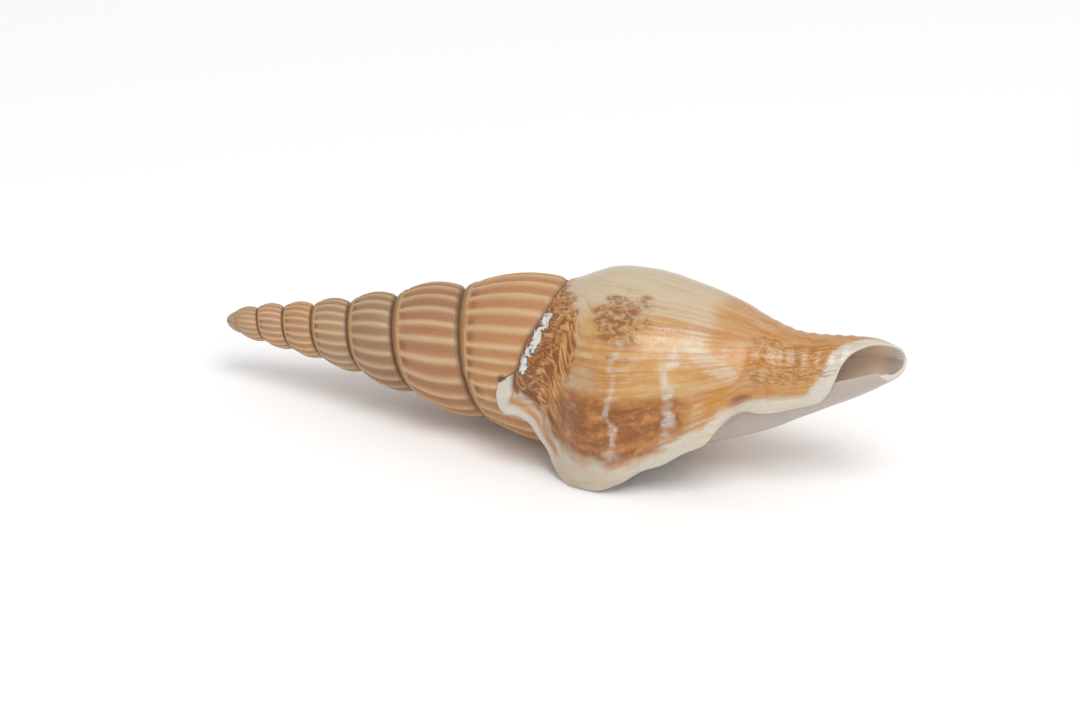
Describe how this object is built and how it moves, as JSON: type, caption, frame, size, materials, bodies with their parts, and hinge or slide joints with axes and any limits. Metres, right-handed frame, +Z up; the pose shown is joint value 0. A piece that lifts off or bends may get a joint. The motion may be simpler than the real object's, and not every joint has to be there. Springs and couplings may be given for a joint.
{
  "type": "conch shell",
  "caption": "Slender spindle-shaped conch shell with a tall ribbed spire, flared outer lip and recurved canal, lying mouth down.",
  "frame": {"origin": "centre of the bounding box at its base, on the surface the shell lies on", "axes": "+X from the tip of the spire toward the end of the canal, -Y toward the outer lip, +Z up"},
  "size_m": [0.0898, 0.0276, 0.0243],
  "materials": {
    "shell": "polished natural shell, orange-brown mottled on cream, satin gloss"
  },
  "bodies": {
    "root": {"shell": "shell"}
  },
  "joints": []
}
